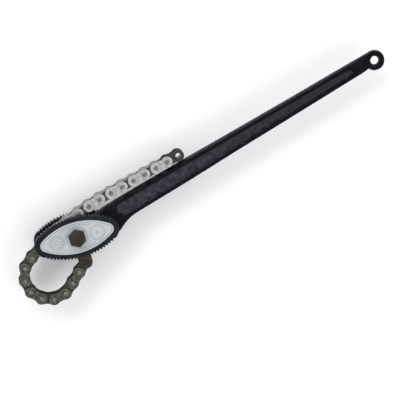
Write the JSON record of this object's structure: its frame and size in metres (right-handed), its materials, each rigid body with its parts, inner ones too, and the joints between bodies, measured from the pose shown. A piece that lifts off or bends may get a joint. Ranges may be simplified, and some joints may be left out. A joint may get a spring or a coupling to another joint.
{
  "type": "chain pipe wrench",
  "caption": "Reversible chain pipe wrench: forged I-section handle with hanging eye, twin toothed leaf jaws on a through bolt, and a bush chain looped round and back between the jaws.",
  "frame": {"origin": "on the main bolt's axis, at the nut's outer face, which the wrench lies on", "axes": "+X along the handle to its hanging eye, +Y to the side that the chain's tail lies on, +Z along the main bolt to its head"},
  "size_m": [0.6425, 0.1145, 0.067],
  "materials": {
    "handle_paint": "satin-gloss black enamel on a forging",
    "jaw_paint": "satin black enamel",
    "nameplate": "bright satin aluminium",
    "bolt_steel": "brown-black oxide",
    "washer_steel": "plain zinc",
    "shackle_steel": "oiled brown forging",
    "loop_chain_steel": "oiled grey steel",
    "loop_inner_steel": "oiled dark steel",
    "tail_chain_steel": "bright rolled steel",
    "tail_inner_steel": "dull rolled steel",
    "end_link_steel": "blackened steel"
  },
  "bodies": {
    "handle": {"handle": "handle_paint"},
    "jaws": {"front_jaw": "jaw_paint", "rear_jaw": "jaw_paint", "front_nameplate": "nameplate", "rear_nameplate": "nameplate", "jaw_bolt": "bolt_steel", "jaw_nut": "bolt_steel", "lock_washer": "bolt_steel", "head_washer": "washer_steel", "pivot_sleeve": "bolt_steel"},
    "shackle": {"shackle_front_arm": "shackle_steel", "shackle_rear_arm": "shackle_steel", "anchor_pin": "bolt_steel"},
    "link_01": {"inner_link_01": "loop_inner_steel"},
    "link_02": {"pin_link_02": "loop_chain_steel", "cover_plate_02": "loop_chain_steel"},
    "link_03": {"inner_link_03": "loop_inner_steel"},
    "link_04": {"pin_link_04": "loop_chain_steel", "cover_plate_04": "loop_chain_steel"},
    "link_05": {"inner_link_05": "loop_inner_steel"},
    "link_06": {"pin_link_06": "loop_chain_steel", "cover_plate_06": "loop_chain_steel"},
    "link_07": {"inner_link_07": "loop_inner_steel"},
    "link_08": {"pin_link_08": "loop_chain_steel", "cover_plate_08": "loop_chain_steel"},
    "link_09": {"inner_link_09": "loop_inner_steel"},
    "link_10": {"pin_link_10": "loop_chain_steel", "cover_plate_10": "loop_chain_steel"},
    "link_11": {"inner_link_11": "loop_inner_steel"},
    "link_12": {"pin_link_12": "loop_chain_steel", "cover_plate_12": "loop_chain_steel"},
    "link_13": {"inner_link_13": "tail_inner_steel"},
    "link_14": {"pin_link_14": "tail_chain_steel", "cover_plate_14": "tail_chain_steel"},
    "link_15": {"inner_link_15": "tail_inner_steel"},
    "link_16": {"pin_link_16": "tail_chain_steel", "cover_plate_16": "tail_chain_steel"},
    "link_17": {"inner_link_17": "tail_inner_steel"},
    "link_18": {"pin_link_18": "tail_chain_steel", "cover_plate_18": "tail_chain_steel"},
    "link_19": {"inner_link_19": "tail_inner_steel"},
    "link_20": {"pin_link_20": "tail_chain_steel", "cover_plate_20": "tail_chain_steel"},
    "link_21": {"inner_link_21": "tail_inner_steel"},
    "link_22": {"pin_link_22": "tail_chain_steel", "cover_plate_22": "tail_chain_steel"},
    "link_23": {"inner_link_23": "end_link_steel"}
  },
  "joints": [
    {"name": "jaw_pivot", "type": "hinge", "parent": "handle", "child": "jaws", "pos_m": [0, 0, 0.035], "axis": [0, 0, 1], "range_deg": [0, 31.4]},
    {"name": "shackle_pivot", "type": "hinge", "parent": "handle", "child": "shackle", "pos_m": [0, 0, 0.035], "axis": [0, 0, 1], "range_deg": [0, 18]},
    {"name": "anchor_hinge", "type": "hinge", "parent": "shackle", "child": "link_01", "pos_m": [-0.0082, -0.0416, 0.035], "axis": [0, 0, 1], "range_deg": [0, 20]},
    {"name": "chain_hinge_01", "type": "hinge", "parent": "link_01", "child": "link_02", "pos_m": [-0.02502, -0.05054, 0.035], "axis": [0, 0, 1], "range_deg": [0, 20]},
    {"name": "chain_hinge_02", "type": "hinge", "parent": "link_02", "child": "link_03", "pos_m": [-0.04184, -0.05949, 0.035], "axis": [0, 0, 1], "range_deg": [0, 20]},
    {"name": "chain_hinge_03", "type": "hinge", "parent": "link_03", "child": "link_04", "pos_m": [-0.0591, -0.06754, 0.035], "axis": [0, 0, 1], "range_deg": [0, 29]},
    {"name": "chain_hinge_04", "type": "hinge", "parent": "link_04", "child": "link_05", "pos_m": [-0.07809, -0.06599, 0.035], "axis": [0, 0, 1], "range_deg": [0, 29]},
    {"name": "chain_hinge_05", "type": "hinge", "parent": "link_05", "child": "link_06", "pos_m": [-0.09382, -0.05524, 0.035], "axis": [0, 0, 1], "range_deg": [0, 29]},
    {"name": "chain_hinge_06", "type": "hinge", "parent": "link_06", "child": "link_07", "pos_m": [-0.10217, -0.03812, 0.035], "axis": [0, 0, 1], "range_deg": [0, 29]},
    {"name": "chain_hinge_07", "type": "hinge", "parent": "link_07", "child": "link_08", "pos_m": [-0.10094, -0.01911, 0.035], "axis": [0, 0, 1], "range_deg": [0, 29]},
    {"name": "chain_hinge_08", "type": "hinge", "parent": "link_08", "child": "link_09", "pos_m": [-0.09047, -0.00319, 0.035], "axis": [0, 0, 1], "range_deg": [0, 29]},
    {"name": "chain_hinge_09", "type": "hinge", "parent": "link_09", "child": "link_10", "pos_m": [-0.07349, 0.00545, 0.035], "axis": [0, 0, 1], "range_deg": [0, 20]},
    {"name": "chain_hinge_10", "type": "hinge", "parent": "link_10", "child": "link_11", "pos_m": [-0.05537, 0.01133, 0.035], "axis": [0, 0, 1], "range_deg": [0, 20]},
    {"name": "chain_hinge_11", "type": "hinge", "parent": "link_11", "child": "link_12", "pos_m": [-0.03706, 0.01658, 0.035], "axis": [0, 0, 1], "range_deg": [0, 20]},
    {"name": "chain_hinge_12", "type": "hinge", "parent": "link_12", "child": "link_13", "pos_m": [-0.0185, 0.02087, 0.035], "axis": [0, 0, 1], "range_deg": [0, 20]},
    {"name": "chain_hinge_13", "type": "hinge", "parent": "link_13", "child": "link_14", "pos_m": [0.00026, 0.02418, 0.035], "axis": [0, 0, 1], "range_deg": [0, 20]},
    {"name": "chain_hinge_14", "type": "hinge", "parent": "link_14", "child": "link_15", "pos_m": [0.01913, 0.02683, 0.035], "axis": [0, 0, 1], "range_deg": [0, 20]},
    {"name": "chain_hinge_15", "type": "hinge", "parent": "link_15", "child": "link_16", "pos_m": [0.0381, 0.02849, 0.035], "axis": [0, 0, 1], "range_deg": [0, 20]},
    {"name": "chain_hinge_16", "type": "hinge", "parent": "link_16", "child": "link_17", "pos_m": [0.05714, 0.02915, 0.035], "axis": [0, 0, 1], "range_deg": [0, 20]},
    {"name": "chain_hinge_17", "type": "hinge", "parent": "link_17", "child": "link_18", "pos_m": [0.07618, 0.02849, 0.035], "axis": [0, 0, 1], "range_deg": [0, 20]},
    {"name": "chain_hinge_18", "type": "hinge", "parent": "link_18", "child": "link_19", "pos_m": [0.09522, 0.02782, 0.035], "axis": [0, 0, 1], "range_deg": [0, 20]},
    {"name": "chain_hinge_19", "type": "hinge", "parent": "link_19", "child": "link_20", "pos_m": [0.11426, 0.02716, 0.035], "axis": [0, 0, 1], "range_deg": [0, 20]},
    {"name": "chain_hinge_20", "type": "hinge", "parent": "link_20", "child": "link_21", "pos_m": [0.13329, 0.0265, 0.035], "axis": [0, 0, 1], "range_deg": [0, 20]},
    {"name": "chain_hinge_21", "type": "hinge", "parent": "link_21", "child": "link_22", "pos_m": [0.15233, 0.02583, 0.035], "axis": [0, 0, 1], "range_deg": [0, 20]},
    {"name": "chain_hinge_22", "type": "hinge", "parent": "link_22", "child": "link_23", "pos_m": [0.17137, 0.02516, 0.035], "axis": [0, 0, 1], "range_deg": [0, 20]}
  ]
}
